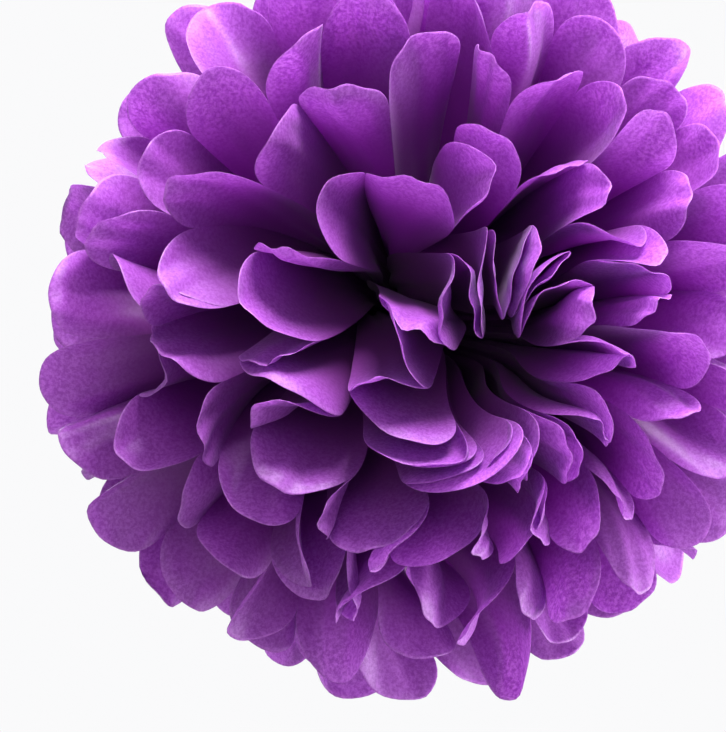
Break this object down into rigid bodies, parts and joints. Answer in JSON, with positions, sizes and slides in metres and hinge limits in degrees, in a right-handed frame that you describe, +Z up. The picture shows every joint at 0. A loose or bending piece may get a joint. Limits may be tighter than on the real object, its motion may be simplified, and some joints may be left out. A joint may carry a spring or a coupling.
{
  "type": "tissue paper pom pom",
  "caption": "Ball of pleated tissue paper sheets with round cut ends, opened from a wire tied at the middle, made to hang from the wire's eye.",
  "frame": {"origin": "middle of the tie wire's hanging eye, above the gathered middle of the sheets", "axes": "+Z up along the line it hangs from, -Y to the front pole where the petals gather, X along the folded strip before it was opened"},
  "size_m": [0.3033, 0.3017, 0.3062],
  "materials": {
    "tissue": "matte",
    "wire": "satin"
  },
  "bodies": {
    "root": {"sheet_01": "tissue", "sheet_02": "tissue", "sheet_03": "tissue", "sheet_04": "tissue", "sheet_05": "tissue", "sheet_06": "tissue", "sheet_07": "tissue", "sheet_08": "tissue", "sheet_09": "tissue", "sheet_10": "tissue", "tie_wire": "wire"}
  },
  "joints": []
}
